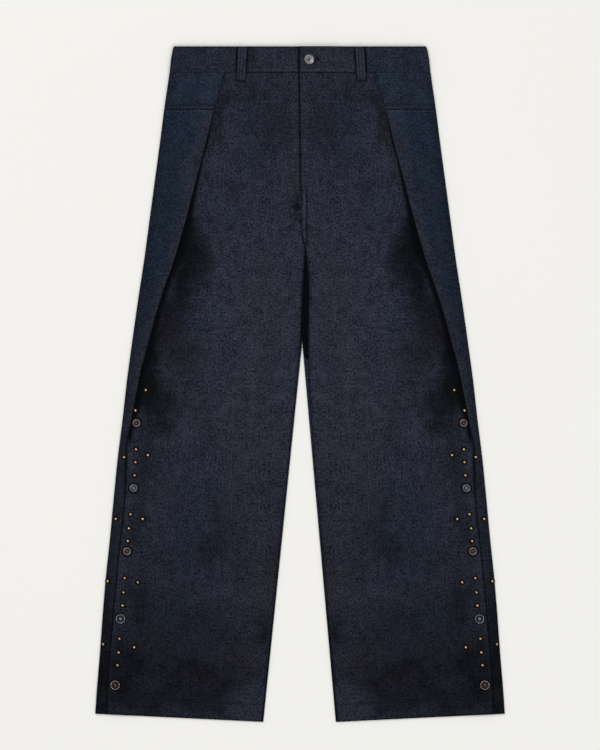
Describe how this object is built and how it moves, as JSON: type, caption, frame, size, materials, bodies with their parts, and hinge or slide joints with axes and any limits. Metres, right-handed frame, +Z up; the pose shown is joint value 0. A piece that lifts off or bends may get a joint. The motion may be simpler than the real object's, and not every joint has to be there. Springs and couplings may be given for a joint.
{
  "type": "pair of wide-leg cocoon trousers",
  "caption": "Dark denim cocoon trousers laid flat, front up, with a deep side pleat and a studded edge down each leg.",
  "frame": {"origin": "middle of the laid-out garment's box, on the surface it lies on", "axes": "+Y from the hems to the waist, +X to the right as seen from above, +Z up out of the front"},
  "size_m": [0.655, 1.0805, 0.012],
  "materials": {
    "denim": "dark indigo denim with a soft heather",
    "side_denim": "dark indigo denim, slightly greener",
    "brass": "polished",
    "old_silver": "blackened and rubbed",
    "bright_silver": "satin"
  },
  "bodies": {
    "root": {"waistband": "denim", "fly_shield": "denim", "yoke_left": "side_denim", "yoke_right": "side_denim", "back_leg_left": "side_denim", "back_leg_right": "side_denim", "front_leg_left": "denim", "front_leg_right": "denim", "loop_front_left": "denim", "loop_front_right": "denim", "loop_back_left": "denim", "loop_back_middle": "denim", "loop_back_right": "denim", "tack_button": "bright_silver", "snap_left_1": "old_silver", "snap_left_2": "old_silver", "snap_left_3": "old_silver", "snap_left_4": "old_silver", "snap_left_5": "old_silver", "snap_right_1": "old_silver", "snap_right_2": "old_silver", "snap_right_3": "old_silver", "snap_right_4": "old_silver", "snap_right_5": "old_silver", "stud_left_01": "brass", "stud_left_02": "brass", "stud_left_03": "brass", "stud_left_04": "brass", "stud_left_05": "brass", "stud_left_06": "brass", "stud_left_07": "brass", "stud_left_08": "brass", "stud_left_09": "brass", "stud_left_10": "brass", "stud_left_11": "brass", "stud_left_12": "brass", "stud_left_13": "brass", "stud_left_14": "brass", "stud_left_15": "brass", "stud_left_16": "brass", "stud_left_17": "brass", "stud_left_18": "brass", "stud_right_01": "brass", "stud_right_02": "brass", "stud_right_03": "brass", "stud_right_04": "brass", "stud_right_05": "brass", "stud_right_06": "brass", "stud_right_07": "brass", "stud_right_08": "brass", "stud_right_09": "brass", "stud_right_10": "brass", "stud_right_11": "brass", "stud_right_12": "brass", "stud_right_13": "brass", "stud_right_14": "brass", "stud_right_15": "brass", "stud_right_16": "brass", "stud_right_17": "brass", "stud_right_18": "brass"}
  },
  "joints": []
}
